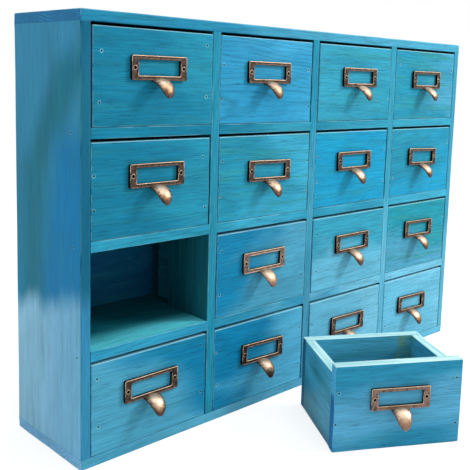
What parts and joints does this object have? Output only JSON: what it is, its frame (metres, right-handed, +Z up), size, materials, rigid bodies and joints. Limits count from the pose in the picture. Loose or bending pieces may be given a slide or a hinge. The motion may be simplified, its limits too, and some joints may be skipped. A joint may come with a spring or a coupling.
{
  "type": "tabletop drawer cabinet",
  "caption": "Wide, shallow wooden tabletop cabinet with a grid of small drawers, each with a metal card-frame pull; one drawer stands out in front and its bay is empty.",
  "frame": {"origin": "centre of the cabinet's underside, on the surface it stands on", "axes": "+X along the cabinet's width to the right as seen from in front, +Y from the drawer fronts to the back, +Z up"},
  "size_m": [0.6, 0.3187, 0.415],
  "materials": {
    "cabinet_wood": "blue stain, satin",
    "drawer_front_wood": "blue stain, satin",
    "drawer_box_wood": "blue-green stain, satin",
    "pull_metal": "antique bronze, satin",
    "nail_steel": "dark steel"
  },
  "bodies": {
    "cabinet": {"top_board": "cabinet_wood", "bottom_board": "cabinet_wood", "left_side": "cabinet_wood", "right_side": "cabinet_wood", "back_panel": "cabinet_wood", "divider_1": "cabinet_wood", "divider_2": "cabinet_wood", "divider_3": "cabinet_wood", "shelf_1": "cabinet_wood", "shelf_2": "cabinet_wood", "shelf_3": "cabinet_wood", "cabinet_nails": "nail_steel"},
    "drawer_r1_c1": {"drawer_r1_c1_front": "drawer_front_wood", "drawer_r1_c1_box": "drawer_box_wood", "drawer_r1_c1_pull": "pull_metal"},
    "drawer_r1_c2": {"drawer_r1_c2_front": "drawer_front_wood", "drawer_r1_c2_box": "drawer_box_wood", "drawer_r1_c2_pull": "pull_metal"},
    "drawer_r1_c3": {"drawer_r1_c3_front": "drawer_front_wood", "drawer_r1_c3_box": "drawer_box_wood", "drawer_r1_c3_pull": "pull_metal"},
    "drawer_r1_c4": {"drawer_r1_c4_front": "drawer_front_wood", "drawer_r1_c4_box": "drawer_box_wood", "drawer_r1_c4_pull": "pull_metal"},
    "drawer_r2_c1": {"drawer_r2_c1_front": "drawer_front_wood", "drawer_r2_c1_box": "drawer_box_wood", "drawer_r2_c1_pull": "pull_metal"},
    "drawer_r2_c2": {"drawer_r2_c2_front": "drawer_front_wood", "drawer_r2_c2_box": "drawer_box_wood", "drawer_r2_c2_pull": "pull_metal"},
    "drawer_r2_c3": {"drawer_r2_c3_front": "drawer_front_wood", "drawer_r2_c3_box": "drawer_box_wood", "drawer_r2_c3_pull": "pull_metal"},
    "drawer_r2_c4": {"drawer_r2_c4_front": "drawer_front_wood", "drawer_r2_c4_box": "drawer_box_wood", "drawer_r2_c4_pull": "pull_metal"},
    "loose_drawer": {"drawer_r3_c1_front": "drawer_front_wood", "drawer_r3_c1_box": "drawer_box_wood", "drawer_r3_c1_pull": "pull_metal"},
    "drawer_r3_c2": {"drawer_r3_c2_front": "drawer_front_wood", "drawer_r3_c2_box": "drawer_box_wood", "drawer_r3_c2_pull": "pull_metal"},
    "drawer_r3_c3": {"drawer_r3_c3_front": "drawer_front_wood", "drawer_r3_c3_box": "drawer_box_wood", "drawer_r3_c3_pull": "pull_metal"},
    "drawer_r3_c4": {"drawer_r3_c4_front": "drawer_front_wood", "drawer_r3_c4_box": "drawer_box_wood", "drawer_r3_c4_pull": "pull_metal"},
    "drawer_r4_c1": {"drawer_r4_c1_front": "drawer_front_wood", "drawer_r4_c1_box": "drawer_box_wood", "drawer_r4_c1_pull": "pull_metal"},
    "drawer_r4_c2": {"drawer_r4_c2_front": "drawer_front_wood", "drawer_r4_c2_box": "drawer_box_wood", "drawer_r4_c2_pull": "pull_metal"},
    "drawer_r4_c3": {"drawer_r4_c3_front": "drawer_front_wood", "drawer_r4_c3_box": "drawer_box_wood", "drawer_r4_c3_pull": "pull_metal"},
    "drawer_r4_c4": {"drawer_r4_c4_front": "drawer_front_wood", "drawer_r4_c4_box": "drawer_box_wood", "drawer_r4_c4_pull": "pull_metal"}
  },
  "joints": [
    {"name": "drawer_r1_c1_slide", "type": "slide", "parent": "cabinet", "child": "drawer_r1_c1", "axis": [0, -1, 0], "range_m": [0, 0.1]},
    {"name": "drawer_r1_c2_slide", "type": "slide", "parent": "cabinet", "child": "drawer_r1_c2", "axis": [0, -1, 0], "range_m": [0, 0.1]},
    {"name": "drawer_r1_c3_slide", "type": "slide", "parent": "cabinet", "child": "drawer_r1_c3", "axis": [0, -1, 0], "range_m": [0, 0.1]},
    {"name": "drawer_r1_c4_slide", "type": "slide", "parent": "cabinet", "child": "drawer_r1_c4", "axis": [0, -1, 0], "range_m": [0, 0.1]},
    {"name": "drawer_r2_c1_slide", "type": "slide", "parent": "cabinet", "child": "drawer_r2_c1", "axis": [0, -1, 0], "range_m": [0, 0.1]},
    {"name": "drawer_r2_c2_slide", "type": "slide", "parent": "cabinet", "child": "drawer_r2_c2", "axis": [0, -1, 0], "range_m": [0, 0.1]},
    {"name": "drawer_r2_c3_slide", "type": "slide", "parent": "cabinet", "child": "drawer_r2_c3", "axis": [0, -1, 0], "range_m": [0, 0.1]},
    {"name": "drawer_r2_c4_slide", "type": "slide", "parent": "cabinet", "child": "drawer_r2_c4", "axis": [0, -1, 0], "range_m": [0, 0.1]},
    {"name": "loose_drawer_slide", "type": "slide", "parent": "cabinet", "child": "loose_drawer", "axis": [-0.5165, -0.8563, 0], "range_m": [0, 0.11]},
    {"name": "drawer_r3_c2_slide", "type": "slide", "parent": "cabinet", "child": "drawer_r3_c2", "axis": [0, -1, 0], "range_m": [0, 0.1]},
    {"name": "drawer_r3_c3_slide", "type": "slide", "parent": "cabinet", "child": "drawer_r3_c3", "axis": [0, -1, 0], "range_m": [0, 0.1]},
    {"name": "drawer_r3_c4_slide", "type": "slide", "parent": "cabinet", "child": "drawer_r3_c4", "axis": [0, -1, 0], "range_m": [0, 0.1]},
    {"name": "drawer_r4_c1_slide", "type": "slide", "parent": "cabinet", "child": "drawer_r4_c1", "axis": [0, -1, 0], "range_m": [0, 0.1]},
    {"name": "drawer_r4_c2_slide", "type": "slide", "parent": "cabinet", "child": "drawer_r4_c2", "axis": [0, -1, 0], "range_m": [0, 0.03]},
    {"name": "drawer_r4_c3_slide", "type": "slide", "parent": "cabinet", "child": "drawer_r4_c3", "axis": [0, -1, 0], "range_m": [0, 0.06]},
    {"name": "drawer_r4_c4_slide", "type": "slide", "parent": "cabinet", "child": "drawer_r4_c4", "axis": [0, -1, 0], "range_m": [0, 0.1]}
  ]
}
